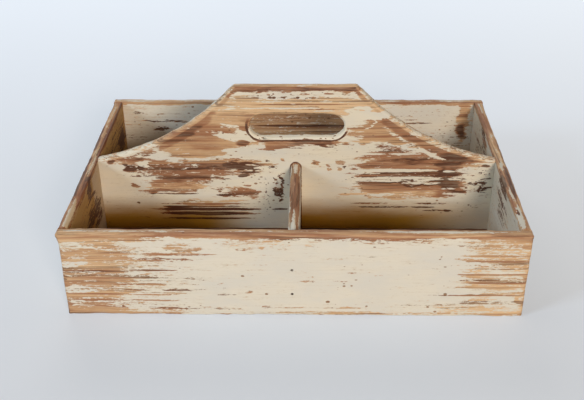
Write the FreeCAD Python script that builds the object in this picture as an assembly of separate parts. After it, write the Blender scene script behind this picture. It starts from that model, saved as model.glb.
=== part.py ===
import FreeCAD, Part
import math
import os

# A nailed wooden utensil caddy: an open box with a tall board down its middle that has a
# hand slot, and a short divider in the front half. Three compartments, nothing moves.
# Frame: X along the length, Y from front to back, Z up, origin on the table under the centre.

# The box
OUTER_LENGTH = 400.0
OUTER_DEPTH = 268.0
WALL_HEIGHT = 85.0
WALL_BOARD = 9.0
END_PROUD = 0.8  # the long walls stand this far past the outer faces of the short walls

# Sanded arrises
OUTER_ARRIS = 1.8
INNER_ARRIS = 1.0
BASE_ARRIS = 0.8

# The bottom panel, let into grooves in the four walls
PANEL_BOARD = 5.0
PANEL_UP = 2.0  # the underside stands clear of the table
GROOVE_DEPTH = 3.0
PANEL_FREE = 0.3  # room round the panel's edges and over it in the grooves

# The handle board
HANDLE_BOARD = 9.0
HANDLE_RISE = 76.0  # above the rim of the walls
HANDLE_TOP_LENGTH = 115.0
FLANK_RADIUS = 244.0
SHOULDER_RADIUS = 5.0
HANDLE_ARRIS = 3.0

# The hand slot in it
SLOT_LENGTH = 87.5
SLOT_HEIGHT = 22.8
SLOT_BELOW_TOP = 29.2
SLOT_SHIFT = 1.4  # to the right of the middle
SLOT_ARRIS = 3.0

# The front divider
DIVIDER_BOARD = 9.5
DIVIDER_BELOW_RIM = 3.0
DIVIDER_FREE = 0.4  # open joint between its rear end and the handle board

# The brads
BRAD_LENGTH = 25.0
BRAD_RADIUS = 0.7
BRAD_HEAD_RADIUS = 1.2
BRAD_HEAD_HEIGHT = 0.8
BRAD_POINT = 2.0
BRAD_FREE = 0.05
SHOWN_BRAD_SUNK = 0.2
STOPPED_BRAD_SUNK = 1.5  # punched in, and stopped over level with the face
BASE_BRAD_SUNK = 0.2
CORNER_BRAD_EDGE = 15.0
CORNER_BRAD_PITCH = 27.5
HANDLE_BRAD_LOW = 20.0
HANDLE_BRAD_BELOW_RIM = 15.0
HANDLE_BRAD_PITCH = 25.0
BASE_BRAD_END = 60.0
BASE_BRAD_PITCH = 87.0
DIVIDER_BRAD_LOW = 23.3
DIVIDER_BRAD_BELOW_TOP = 33.4
DIVIDER_BRAD_PITCH = 25.3
DIVIDER_BRAD_SHIFT = -1.3  # to the left of the divider's middle

# Places that follow
TOUCH = 0.001
OUTER_X = OUTER_LENGTH / 2
OUTER_Y = OUTER_DEPTH / 2
SIDE_X = OUTER_X - END_PROUD
INNER_X = SIDE_X - WALL_BOARD
INNER_Y = OUTER_Y - WALL_BOARD
FLOOR_Z = PANEL_UP + PANEL_BOARD
HANDLE_Y = HANDLE_BOARD / 2
HANDLE_TOP = WALL_HEIGHT + HANDLE_RISE
SLOT_TOP = HANDLE_TOP - SLOT_BELOW_TOP
SLOT_Z = SLOT_TOP - SLOT_HEIGHT / 2
DIVIDER_TOP = WALL_HEIGHT - DIVIDER_BELOW_RIM

FORWARD = FreeCAD.Vector(0, -1, 0)
BACKWARD = FreeCAD.Vector(0, 1, 0)
LEFTWARD = FreeCAD.Vector(-1, 0, 0)
RIGHTWARD = FreeCAD.Vector(1, 0, 0)
UPWARD = FreeCAD.Vector(0, 0, 1)
CENTRE = FreeCAD.Vector(0, 0, 0)


def block(x_range, y_range, z_range):
    """A box between two places along each axis."""
    corner = FreeCAD.Vector(x_range[0], y_range[0], z_range[0])
    length = x_range[1] - x_range[0]
    depth = y_range[1] - y_range[0]
    height = z_range[1] - z_range[0]
    return Part.makeBox(length, depth, height, corner)


def rounded(shape, radius, wanted):
    """The shape with each edge rounded whose middle is wanted."""
    edges = [edge for edge in shape.Edges if wanted(edge.CenterOfMass)]
    return shape.makeFillet(radius, edges)


def spread(first, last, pitch):
    """Places a pitch apart, centred between first and last."""
    gaps = max(0, round((last - first) / pitch))
    middle = (first + last) / 2
    return [middle + pitch * (i - gaps / 2) for i in range(gaps + 1)]


def brad(head, direction, free=0.0):
    """A brad driven from head along direction, or with free the hole that it leaves."""
    below_head = head + direction * (BRAD_HEAD_HEIGHT - free)
    shank_length = BRAD_LENGTH - BRAD_HEAD_HEIGHT - BRAD_POINT + free
    point = head + direction * (BRAD_LENGTH - BRAD_POINT)
    cap = Part.makeCylinder(BRAD_HEAD_RADIUS + free, BRAD_HEAD_HEIGHT + free, head, direction)
    shank = Part.makeCylinder(BRAD_RADIUS + free, shank_length, below_head, direction)
    tip = Part.makeCone(BRAD_RADIUS + free, 0, BRAD_POINT + free, point, direction)
    return cap.fuse([shank, tip]).removeSplitter()


def brads(heads, direction):
    """Identical brads as separate solids of one group."""
    return Part.makeCompound([brad(head, direction) for head in heads])


def drilled(shape, heads, direction, mouth=0.0):
    """The shape with the brads' holes, each open for a mouth above its head."""
    holes = []
    for head in heads:
        holes.append(brad(head, direction, BRAD_FREE))
        if mouth:
            above = head - direction * mouth
            holes.append(Part.makeCylinder(BRAD_HEAD_RADIUS + BRAD_FREE, mouth, above, direction))
    return shape.cut(holes)


def corner_heads(x_side, y_side):
    """Brad heads down one corner, in a long wall over the end of a short wall."""
    x = x_side * (SIDE_X - WALL_BOARD / 2)
    y = y_side * (OUTER_Y - STOPPED_BRAD_SUNK)
    heights = spread(CORNER_BRAD_EDGE, WALL_HEIGHT - CORNER_BRAD_EDGE, CORNER_BRAD_PITCH)
    return [FreeCAD.Vector(x, y, z) for z in heights]


def handle_end_heads(x_side):
    """Brad heads in a short wall over the end of the handle board."""
    x = x_side * (SIDE_X - STOPPED_BRAD_SUNK)
    heights = spread(HANDLE_BRAD_LOW, WALL_HEIGHT - HANDLE_BRAD_BELOW_RIM, HANDLE_BRAD_PITCH)
    return [FreeCAD.Vector(x, 0, z) for z in heights]


def handle_base_heads():
    """Brad heads under the bottom panel, along the foot of the handle board."""
    end = INNER_X - BASE_BRAD_END
    z = PANEL_UP + BASE_BRAD_SUNK
    return [FreeCAD.Vector(x, 0, z) for x in spread(-end, end, BASE_BRAD_PITCH)]


def divider_heads(y):
    """Brad heads in the plane y over an end of the divider."""
    heights = spread(DIVIDER_BRAD_LOW, DIVIDER_TOP - DIVIDER_BRAD_BELOW_TOP, DIVIDER_BRAD_PITCH)
    return [FreeCAD.Vector(DIVIDER_BRAD_SHIFT, y, z) for z in heights]


def panel_room():
    """The space of the grooves in which the bottom panel lies."""
    x = INNER_X + GROOVE_DEPTH
    y = INNER_Y + GROOVE_DEPTH
    return block((-x, x), (-y, y), (PANEL_UP, FLOOR_Z + PANEL_FREE))


def long_wall():
    """The front wall before its brad holes. The back wall is its mirror image."""
    wall = block((-OUTER_X, OUTER_X), (-OUTER_Y, -INNER_Y), (0, WALL_HEIGHT))

    def end_arris(p):
        upright = abs(p.y + OUTER_Y) < TOUCH and abs(abs(p.x) - OUTER_X) < TOUCH
        over_end = abs(p.z - WALL_HEIGHT) < TOUCH and abs(abs(p.x) - OUTER_X) < TOUCH
        return upright or over_end

    def front_rim(p):
        return abs(p.y + OUTER_Y) < TOUCH and abs(p.z - WALL_HEIGHT) < TOUCH

    wall = rounded(wall, OUTER_ARRIS, lambda p: end_arris(p) or front_rim(p))
    wall = rounded(wall, BASE_ARRIS, lambda p: p.z < TOUCH and p.y < -INNER_Y - TOUCH)

    def inner_rim(p):
        return abs(p.y + INNER_Y) < TOUCH and abs(p.z - WALL_HEIGHT) < TOUCH

    wall = rounded(wall, INNER_ARRIS, inner_rim)
    return wall.cut(panel_room())


def front_wall():
    wall = drilled(long_wall(), corner_heads(-1, -1) + corner_heads(1, -1), BACKWARD)
    heads = divider_heads(-OUTER_Y + SHOWN_BRAD_SUNK)
    return drilled(wall, heads, BACKWARD, SHOWN_BRAD_SUNK)


def back_wall():
    wall = long_wall().mirror(CENTRE, BACKWARD)
    return drilled(wall, corner_heads(-1, 1) + corner_heads(1, 1), FORWARD)


def short_wall():
    """The right wall before its brad holes, butted between the long walls."""
    wall = block((INNER_X, SIDE_X), (-INNER_Y, INNER_Y), (0, WALL_HEIGHT))
    wall = rounded(wall, OUTER_ARRIS, lambda p: p.x > SIDE_X - TOUCH and p.z > WALL_HEIGHT - TOUCH)
    wall = rounded(wall, INNER_ARRIS, lambda p: p.x < INNER_X + TOUCH and p.z > WALL_HEIGHT - TOUCH)
    wall = rounded(wall, BASE_ARRIS, lambda p: p.x > SIDE_X - TOUCH and p.z < TOUCH)
    return wall.cut(panel_room())


def drilled_short_wall(wall, x_side, inward):
    wall = drilled(wall, corner_heads(x_side, -1), BACKWARD)
    wall = drilled(wall, corner_heads(x_side, 1), FORWARD)
    return drilled(wall, handle_end_heads(x_side), inward)


def left_wall():
    return drilled_short_wall(short_wall().mirror(CENTRE, LEFTWARD), -1, RIGHTWARD)


def right_wall():
    return drilled_short_wall(short_wall(), 1, LEFTWARD)


def bottom_panel():
    x = INNER_X + GROOVE_DEPTH - PANEL_FREE
    y = INNER_Y + GROOVE_DEPTH - PANEL_FREE
    panel = block((-x, x), (-y, y), (PANEL_UP, FLOOR_Z))
    return drilled(panel, handle_base_heads(), UPWARD, BASE_BRAD_SUNK)


def flank_middle(top, foot):
    """The middle of the hollow flank's arc between its top and its foot."""
    chord = foot - top
    hollow = FLANK_RADIUS - math.sqrt(FLANK_RADIUS**2 - (chord.Length / 2) ** 2)
    inward = FreeCAD.Vector(chord.z, 0, -chord.x).normalize()
    if chord.x < 0:
        inward = inward * -1
    return (top + foot) / 2 + inward * hollow


def handle_outline():
    """The handle board's edge: foot, two ends, two hollow flanks and a flat top."""
    half_top = HANDLE_TOP_LENGTH / 2
    right_top = FreeCAD.Vector(half_top, 0, HANDLE_TOP)
    left_top = FreeCAD.Vector(-half_top, 0, HANDLE_TOP)
    right_rim = FreeCAD.Vector(INNER_X, 0, WALL_HEIGHT)
    left_rim = FreeCAD.Vector(-INNER_X, 0, WALL_HEIGHT)
    right_foot = FreeCAD.Vector(INNER_X, 0, FLOOR_Z)
    left_foot = FreeCAD.Vector(-INNER_X, 0, FLOOR_Z)
    right_flank = Part.Arc(right_top, flank_middle(right_top, right_rim), right_rim)
    left_flank = Part.Arc(left_rim, flank_middle(left_top, left_rim), left_top)
    edges = [
        Part.LineSegment(left_top, right_top).toShape(),
        right_flank.toShape(),
        Part.LineSegment(right_rim, right_foot).toShape(),
        Part.LineSegment(right_foot, left_foot).toShape(),
        Part.LineSegment(left_foot, left_rim).toShape(),
        left_flank.toShape(),
    ]
    return Part.Wire(edges)


def slot_cutter():
    """The round-ended hand slot, as a solid through the handle board."""
    radius = SLOT_HEIGHT / 2
    reach = SLOT_LENGTH / 2 - radius
    y_range = (-HANDLE_BOARD, HANDLE_BOARD)
    x_range = (SLOT_SHIFT - reach, SLOT_SHIFT + reach)
    middle = block(x_range, y_range, (SLOT_Z - radius, SLOT_Z + radius))
    ends = []
    for x in x_range:
        start = FreeCAD.Vector(x, y_range[0], SLOT_Z)
        ends.append(Part.makeCylinder(radius, 2 * HANDLE_BOARD, start, BACKWARD))
    return middle.fuse(ends).removeSplitter()


def handle_board():
    face = Part.Face(handle_outline())
    board = face.extrude(BACKWARD * HANDLE_BOARD)
    board.translate(FORWARD * HANDLE_Y)

    def shoulder(p):
        at_corner = abs(abs(p.x) - HANDLE_TOP_LENGTH / 2) < TOUCH
        return at_corner and abs(p.z - HANDLE_TOP) < TOUCH

    board = rounded(board, SHOULDER_RADIUS, shoulder)

    def upper_arris(p):
        on_face = abs(abs(p.y) - HANDLE_Y) < TOUCH
        return on_face and p.z > WALL_HEIGHT + TOUCH

    board = rounded(board, HANDLE_ARRIS, upper_arris)
    board = board.cut(slot_cutter())

    def slot_arris(p):
        on_face = abs(abs(p.y) - HANDLE_Y) < TOUCH
        in_length = abs(p.x - SLOT_SHIFT) < SLOT_LENGTH / 2 + TOUCH
        return on_face and in_length and abs(p.z - SLOT_Z) < SLOT_HEIGHT / 2 + TOUCH

    board = rounded(board, SLOT_ARRIS, slot_arris)
    board = drilled(board, handle_end_heads(-1), RIGHTWARD)
    board = drilled(board, handle_end_heads(1), LEFTWARD)
    board = drilled(board, handle_base_heads(), UPWARD)
    return drilled(board, divider_heads(HANDLE_Y - SHOWN_BRAD_SUNK), FORWARD, SHOWN_BRAD_SUNK)


def front_divider():
    """A board on edge whose upper edge is a full half round."""
    half = DIVIDER_BOARD / 2
    y_range = (-INNER_Y, -HANDLE_Y - DIVIDER_FREE)
    board = block((-half, half), y_range, (FLOOR_Z, DIVIDER_TOP - half))
    start = FreeCAD.Vector(0, y_range[0], DIVIDER_TOP - half)
    nose = Part.makeCylinder(half, y_range[1] - y_range[0], start, BACKWARD)
    board = board.fuse(nose).removeSplitter()
    board = drilled(board, divider_heads(-OUTER_Y + SHOWN_BRAD_SUNK), BACKWARD)
    return drilled(board, divider_heads(HANDLE_Y - SHOWN_BRAD_SUNK), FORWARD)


PIECES = {
    "front_wall": front_wall(),
    "back_wall": back_wall(),
    "left_wall": left_wall(),
    "right_wall": right_wall(),
    "bottom_panel": bottom_panel(),
    "handle_board": handle_board(),
    "front_divider": front_divider(),
    "front_left_corner_brads": brads(corner_heads(-1, -1), BACKWARD),
    "front_right_corner_brads": brads(corner_heads(1, -1), BACKWARD),
    "back_left_corner_brads": brads(corner_heads(-1, 1), FORWARD),
    "back_right_corner_brads": brads(corner_heads(1, 1), FORWARD),
    "handle_left_brads": brads(handle_end_heads(-1), RIGHTWARD),
    "handle_right_brads": brads(handle_end_heads(1), LEFTWARD),
    "handle_base_brads": brads(handle_base_heads(), UPWARD),
    "divider_front_brads": brads(divider_heads(-OUTER_Y + SHOWN_BRAD_SUNK), BACKWARD),
    "divider_rear_brads": brads(divider_heads(HANDLE_Y - SHOWN_BRAD_SUNK), FORWARD),
}

os.makedirs("parts", exist_ok=True)
for name, shape in PIECES.items():
    shape.exportStep(os.path.join("parts", name + ".step"))
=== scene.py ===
import math

import bmesh
import bpy
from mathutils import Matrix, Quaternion, Vector, noise


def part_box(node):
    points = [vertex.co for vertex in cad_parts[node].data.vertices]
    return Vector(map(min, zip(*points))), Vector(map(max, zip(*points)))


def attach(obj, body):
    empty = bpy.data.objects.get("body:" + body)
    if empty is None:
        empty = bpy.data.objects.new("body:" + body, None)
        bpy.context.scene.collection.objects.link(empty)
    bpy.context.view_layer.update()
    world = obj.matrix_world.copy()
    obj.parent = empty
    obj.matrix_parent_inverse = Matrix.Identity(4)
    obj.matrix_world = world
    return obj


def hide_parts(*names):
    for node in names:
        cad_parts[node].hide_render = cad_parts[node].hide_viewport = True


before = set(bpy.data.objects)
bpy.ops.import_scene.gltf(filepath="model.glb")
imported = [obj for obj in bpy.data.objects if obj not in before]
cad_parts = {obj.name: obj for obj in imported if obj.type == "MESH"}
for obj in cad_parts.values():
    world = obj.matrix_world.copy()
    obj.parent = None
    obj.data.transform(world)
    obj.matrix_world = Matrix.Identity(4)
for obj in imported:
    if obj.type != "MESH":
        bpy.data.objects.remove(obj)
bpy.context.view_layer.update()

MM = 0.001

# The view: an ordinary lens above the front of the caddy, looking down at it
CAMERA_PLACE = (0.0143, -0.7460, 0.4895)
CAMERA_YAW_DEG = -1.40
CAMERA_PITCH_DEG = 31.21
CAMERA_ROLL_DEG = -0.54
CAMERA_LENS_MM = 54.44
CAMERA_SENSOR_MM = 36.0
LIGHT_TARGET = (0.0, 0.0, 0.06)

# The floor, in metres, and its glow where it is seen: in front, further back and far off, and on the right
FLOOR_SIZE = 60.0
FLOOR_BACK_Y = (-0.6, 1.0)
FLOOR_FAR_OFF = (1.5, 2.6)
FLOOR_RIGHT_X = (0.0, 0.7)
GLOW_NEAR = (0.254, 0.259, 0.258, 1.0)
GLOW_FAR = (0.525, 0.583, 0.65, 1.0)
GLOW_RIGHT = (0.075, 0.06, 0.04, 1.0)

# The room round the floor: its tint, its strength as a light and its strength where it is seen
ROOM_COLOR = (0.86, 0.93, 1.0, 1.0)
ROOM_LIGHT = 0.15
ROOM_SEEN = 0.85

# About where the boards' faces lie, in millimetres from the middle of the caddy, and the height of the rim
OUTSIDE_Y = 134
INSIDE_Y = 125
HANDLE_Y = 4.5
OUTSIDE_X = 199
INSIDE_X = 190.2
RIM_Z = 85.0

# Sizes of the handle board, in millimetres, which the frame's boxes don't give
HANDLE_TOP_LENGTH = 115.0
FLANK_RADIUS = 244.0
SLOT_LENGTH = 87.5
SLOT_HEIGHT = 22.8
SLOT_SHIFT = 1.4
SLOT_Z = 120.4
SLOT_REACH = (SLOT_LENGTH - SLOT_HEIGHT) / 2
SLOT_ARRIS = 3.0

# How the handle board's wear follows its outline, in millimetres: how far in it starts on the flanks,
# how wide their pale crest is, and at what height they give way to the top. The brown band along the
# outline has a width, widens on the flanks, and leaves crumbs of paint from this far to the right
FLANK_INSET = 1.6
CREST_WIDTH = 1.8
SHOULDER_Z = (128.0, 140.0)
BAND_WIDTH = 4.5
BAND_WIDENING = 5.0
BAND_WIDENS_Z = (122.0, 136.0)
CRUMBS_X = (76.0, 90.0)

# How the hand slot is marked, in millimetres: where the dark line round it ends, and where its ends begin
SLOT_LINE_ENDS = (4.3, 5.3)
SLOT_ENDS_X = (33.0, 41.0)

# How unevenly the arrises are sanded, in millimetres, and on which boards, with the axis each runs along
ARRIS_STEP = 5.0
ARRIS_CUTS = (1.0, 2.2, 4.0)
ARRIS_REACH = 4.0
ARRIS_DEPTH = 0.9
ARRIS_MEAN = 0.45
ARRIS_SWING = 0.9
WAVE_SCALE = 0.055
RIPPLE_SCALE = 0.19
RIPPLE_SHARE = 0.7
LONG_SIDE = 60.0
SHARP_DEG = 40
SANDED = {
    "front_wall": 0, "back_wall": 0, "left_wall": 1,
    "right_wall": 1, "handle_board": 0, "front_divider": 1,
}

# How the front wall's ends are planed in below its rim, in millimetres
TAPER_TOP_Z = 81.0
TAPER_FADE = 5.0
TAPER_AT_FOOT = 0.6
TAPER_GROWTH = 1.3
TAPER_FULL_Z = 78.0
TAPER_FROM_X = 193.0
TAPER_LENGTH = 6.0
TAPER_RIGHT_SHARE = 0.35

# How far rubbed edges wander in and out, and the outlines of placed spots along and across the grain,
# in millimetres
EDGE_WANDER = 8.0
BLOT_WANDER = (60.0, 24.0)
SCRATCH_WANDER = (20.0, 2.0)
SPECK_WANDER = (30.0, 20.0)

# How far apart in the noise the boards lie, for each step of their seed
SEED_SHIFT = (97.0, 53.0, 31.0)

# Colours as they look on a screen, each from 0 to 255
CREAM = (230, 220, 199)
CREAM_WARM = (234, 222, 196)
# CREAM_SHADED is painted shade: a darker cream for the right wall, whose inner face lies in shadow
CREAM_SHADED = (210, 200, 178)
CREAM_COOL = (218, 212, 198)
CREAM_STAINED = (205, 188, 158)
TAN_LIGHT = (228, 191, 146)
TAN = (202, 160, 117)
BROWN = (165, 114, 80)
BROWN_DARK = (94, 60, 42)
# The brown of the painted shade low in the compartments, multiplied over paint and wood
PAINTED_SHADE_TINT = (192, 142, 42)
GRIME = (70, 50, 36)
STEEL = (126, 116, 102)
FLOOR_GREY = (178, 180, 184)
FLOOR_FAR = (60, 62, 66)

# The tones between which the stained wood turns from light tan to each darker colour
STAINS = ((0.0, 0.5, TAN), (0.4, 0.95, BROWN), (0.9, 1.5, BROWN_DARK))

# How much of the painted shade, a brown tint that stands for the shadow low in each compartment, is left at
# the right end of each compartment on the handle board's front, where more light reaches, on its back, and
# on the side walls just in front of it. Where it thins out is in millimetres
SHADE_LEFT = 0.12
SHADE_RIGHT = 0.45
SHADE_BEHIND = 0.6
SHADE_BY_HANDLE = 0.65
SHADE_LEFT_X = (-92.0, -32.0)
SHADE_RIGHT_X = (100.0, 185.0)
SHADE_BY_HANDLE_Y = (-37.0, -31.0)
SHADE_ENDS_X = (193.0, 197.0)
SHADE_ENDS_Y = (127.0, 131.0)
SHADE_FADE = 32.0


def linear(color):
    """A screen colour as the linear RGBA that shaders take."""
    def channel(c):
        c = c / 255
        return c / 12.92 if c <= 0.04045 else ((c + 0.055) / 1.055) ** 2.4
    return (*[channel(c) for c in color], 1.0)


def clamped(value):
    """The value, kept between 0 and 1."""
    return min(max(value, 0.0), 1.0)


class Net:
    """A node tree, with one short call for each kind of node that the materials need."""

    def __init__(self, tree):
        self.tree = tree

    def node(self, kind, inputs=None, **settings):
        made = self.tree.nodes.new(kind)
        for key, value in settings.items():
            setattr(made, key, value)
        for key, value in (inputs or {}).items():
            self.put(made.inputs[key], value)
        return made

    def put(self, socket, value):
        """Links a socket to another one, or sets it to a plain value."""
        if isinstance(value, bpy.types.NodeSocket):
            self.tree.links.new(value, socket)
        else:
            socket.default_value = value

    def math(self, operation, a, b=None, c=None):
        inputs = {0: a}
        if b is not None:
            inputs[1] = b
        if c is not None:
            inputs[2] = c
        return self.node("ShaderNodeMath", inputs, operation=operation).outputs[0]

    def add(self, a, b):
        return self.math("ADD", a, b)

    def sub(self, a, b):
        return self.math("SUBTRACT", a, b)

    def mul(self, a, b):
        return self.math("MULTIPLY", a, b)

    def mul_add(self, a, b, c):
        """a times b, plus c."""
        return self.math("MULTIPLY_ADD", a, b, c)

    def swing(self, noise_value, size, value):
        """The value, swung up and down by a noise that lies about 0.5."""
        return self.mul_add(self.sub(noise_value, 0.5), size, value)

    def vector(self, operation, a, b=None):
        inputs = {0: a}
        if b is not None:
            inputs[1] = b
        made = self.node("ShaderNodeVectorMath", inputs, operation=operation)
        return made.outputs["Value" if operation == "LENGTH" else "Vector"]

    def step(self, value, low, high, start=0.0, end=1.0):
        """A smooth step from start to end, as value goes from low to high."""
        inputs = {"Value": value, "From Min": low, "From Max": high, "To Min": start, "To Max": end}
        return self.node("ShaderNodeMapRange", inputs, interpolation_type="SMOOTHSTEP").outputs[0]

    def fade(self, value, low, high):
        """A smooth step down from 1 to 0, as value goes from low to high."""
        return self.step(value, low, high, start=1.0, end=0.0)

    def noise(self, point, scale, detail=4.0, roughness=0.5):
        """The node of a noise over point, which is first scaled along each axis."""
        scaled = self.vector("MULTIPLY", point, scale)
        inputs = {"Vector": scaled, "Scale": 1.0, "Detail": detail, "Roughness": roughness}
        return self.node("ShaderNodeTexNoise", inputs)

    def grey(self, point, scale, detail=4.0, roughness=0.5):
        """The plain value of such a noise."""
        return self.noise(point, scale, detail, roughness).outputs["Fac"]

    def mix(self, factor, a, b, blend="MIX"):
        made = self.node("ShaderNodeMix", data_type="RGBA", blend_type=blend)
        for socket, value in ((made.inputs[0], factor), (made.inputs[6], a), (made.inputs[7], b)):
            self.put(socket, value)
        return made.outputs[2]

    def split(self, vector):
        return self.node("ShaderNodeSeparateXYZ", {0: vector}).outputs

    def join(self, x, y, z):
        return self.node("ShaderNodeCombineXYZ", {0: x, 1: y, 2: z}).outputs[0]


def new_material(name):
    """A new material, as (material, its net, its shader)."""
    material = bpy.data.materials.new(name)
    material.use_nodes = True
    return material, Net(material.node_tree), material.node_tree.nodes["Principled BSDF"]


def group(name, takes, gives):
    """A node group with the named sockets, as (net, its inputs, its output node)."""
    tree = bpy.data.node_groups.new(name, "ShaderNodeTree")
    for socket, kind in takes:
        tree.interface.new_socket(socket, in_out="INPUT", socket_type="NodeSocket" + kind)
    for socket, kind in gives:
        tree.interface.new_socket(socket, in_out="OUTPUT", socket_type="NodeSocket" + kind)
    net = Net(tree)
    source = net.node("NodeGroupInput")
    result = net.node("NodeGroupOutput")
    return net, source.outputs, result


def patch_group():
    """One where a point lies well inside an ellipsoid, and nothing outside it."""
    takes = [("Point", "Vector"), ("Centre", "Vector"), ("Size", "Vector")]
    net, given, result = group("worn_patch", takes, [("Value", "Float")])
    offset = net.vector("SUBTRACT", given["Point"], given["Centre"])
    offset = net.vector("DIVIDE", offset, given["Size"])
    distance = net.vector("LENGTH", offset)
    net.put(result.inputs["Value"], net.fade(distance, 0.7, 1.3))
    return net.tree


PATCH = patch_group()
CHIP_SCALES = ((0.15, 0.22, 0.22), (0.2, 0.5, 0.4))


def chips(net, point, scale, amount, ragged):
    """Small round chips, one in each chosen cell of the given scale, and none where amount is 0."""
    cells = net.node("ShaderNodeTexVoronoi", {"Vector": net.vector("MULTIPLY", point, scale)})
    cells.inputs["Scale"].default_value = 1.0
    choice = net.split(cells.outputs["Color"])
    chosen = net.math("LESS_THAN", choice[0], amount)
    size = net.mul(net.math("POWER", choice[1], 1.3), 0.3)
    edge = net.swing(ragged, 0.2, net.sub(cells.outputs["Distance"], size))
    return net.mul(net.fade(edge, -0.03, 0.02), chosen)


def stained_wood(net, point, tone):
    """Stained softwood, as its colour, its fine grain and its dark late-wood lines."""
    # Grain: long bands, dark late-wood lines that wander a little, and short pores
    sway = net.grey(point, (0.005, 0.012, 0.012), detail=2.0)
    u, v, w = net.split(point)
    swayed = net.join(u, net.mul_add(sway, 14.0, v), w)
    bands = net.grey(swayed, (0.003, 0.13, 0.1), detail=3.0, roughness=0.5)
    fine = net.grey(swayed, (0.011, 0.55, 0.4), detail=6.0, roughness=0.68)
    pores = net.grey(swayed, (0.1, 3.0, 1.5), detail=2.0, roughness=0.5)
    ring = net.grey(swayed, (0.0025, 0.19, 0.12), detail=1.0, roughness=0.4)
    off_line = net.math("ABSOLUTE", net.sub(ring, 0.5))
    strong = net.step(net.grey(swayed, (0.01, 0.09, 0.1), detail=3.0), 0.42, 0.58)
    late = net.mul(net.fade(off_line, 0.0, 0.055), strong)

    # Stain: from pale to dark brown, and darkest in the lines and the pores
    tone = net.swing(bands, 2.0, tone)
    tone = net.swing(fine, 1.9, tone)
    wood = linear(TAN_LIGHT)
    for low, high, color in STAINS:
        wood = net.mix(net.step(tone, low, high), wood, linear(color))
    wood = net.mix(net.mul(late, 0.75), wood, linear(BROWN_DARK))
    wood = net.mix(net.step(pores, 0.58, 0.75, end=0.35), wood, linear(BROWN_DARK))
    return wood, fine, late


def torn_paint(net, point, wear, late):
    """How far the paint is torn along the grain, in blots, streaks and crumbs, and those crumbs."""
    blots = net.grey(point, (0.04, 0.16, 0.16), detail=5.0, roughness=0.6)
    streaks = net.grey(point, (0.04, 0.5, 0.4), detail=7.0, roughness=0.68)
    crumbs = net.grey(point, (0.28, 0.9, 0.8), detail=4.0, roughness=0.65)
    torn = net.swing(blots, 0.9, wear)
    torn = net.swing(streaks, 2.6, torn)
    torn = net.swing(crumbs, 1.9, torn)
    return net.mul_add(late, 0.12, torn), crumbs


def milk_paint(net, point, cream, torn):
    """The paint's colour, thin and stained beside its tears, and the mottling in it."""
    mottle = net.grey(point, (0.02, 0.05, 0.05), detail=5.0, roughness=0.6)
    brushed = net.grey(point, (0.01, 0.8, 0.5), detail=3.0, roughness=0.5)
    paint = net.mix(net.step(mottle, 0.3, 0.65, start=0.35), linear(CREAM_COOL), cream)
    thin = net.step(torn, 0.0, 0.46, end=0.5)
    thin = net.mul_add(net.step(brushed, 0.5, 0.75), 0.18, thin)
    paint = net.mix(net.mul(thin, net.step(mottle, 0.3, 0.7)), paint, linear(CREAM_STAINED))
    return paint, mottle


def paint_group():
    """Milk paint over stained softwood, rubbed through along the grain.

    Point is in millimetres, with the grain along its X and across the face along its Y.
    Wear is how much is rubbed off, from 0 for whole paint to 1 for bare wood.
    Tone is how dark the wood under it is stained, from 0 for pale to 1.5 for dark brown.
    Specks is the share of the places that have a small chip, from 0 to 1.
    The last input is how deep the brown painted shade over both is, from 0 to 1: it stands for the shadow
    low inside the caddy."""
    takes = [("Point", "Vector"), ("Cream", "Color")]
    takes += [(amount, "Float") for amount in ("Wear", "Tone", "Specks", "Painted shade")]
    gives = [("Color", "Color"), ("Roughness", "Float"), ("Height", "Float")]
    net, given, result = group("worn_paint", takes, gives)
    point = given["Point"]
    wood, fine, late = stained_wood(net, point, given["Tone"])
    torn, crumbs = torn_paint(net, point, given["Wear"], late)
    bare = net.step(torn, 0.45, 0.55)
    specks = [chips(net, point, scale, given["Specks"], crumbs) for scale in CHIP_SCALES]
    speck = net.math("MAXIMUM", *specks)
    bare = net.math("MAXIMUM", bare, speck)
    paint, mottle = milk_paint(net, point, given["Cream"], torn)

    # A little paint stays rubbed into the bare wood, and chips are darker than other bare places
    rubbed = net.grey(point, (0.04, 0.35, 0.3), detail=6.0, roughness=0.65)
    wood = net.mix(net.step(rubbed, 0.45, 0.75, end=0.28), wood, linear(CREAM_STAINED))
    wood = net.mix(net.mul(speck, 0.6), wood, linear(BROWN_DARK))
    surface = net.mix(bare, paint, wood)
    # The brown tint multiplied over paint and wood here is painted shade for the bottom of the compartments
    net.put(result.inputs["Color"], net.mix(given["Painted shade"], surface, linear(PAINTED_SHADE_TINT), "MULTIPLY"))

    rough_paint = net.mul_add(mottle, 0.12, 0.62)
    rough_wood = net.mul_add(fine, 0.25, 0.45)
    rough = net.node("ShaderNodeMix", {0: bare, 2: rough_paint, 3: rough_wood}).outputs[0]
    net.put(result.inputs["Roughness"], rough)
    height = net.mul(fine, 0.35)
    height = net.mul_add(late, -0.25, height)
    height = net.mul_add(crumbs, 0.12, height)
    net.put(result.inputs["Height"], height)
    return net.tree


PAINT = paint_group()


def board_arris(net, point, node):
    """Distance from a point on a plain board's surface to its nearest arris."""
    low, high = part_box(node)
    centre = (Vector(low) + Vector(high)) / 2 / MM
    half = (Vector(high) - Vector(low)) / 2 / MM
    inside = net.vector("ABSOLUTE", net.vector("SUBTRACT", point, tuple(centre)))
    a, b, c = net.split(net.vector("SUBTRACT", tuple(half), inside))
    lower = net.math("MINIMUM", a, b)
    upper = net.math("MAXIMUM", a, b)
    return net.math("MAXIMUM", lower, net.math("MINIMUM", upper, c))


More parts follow.
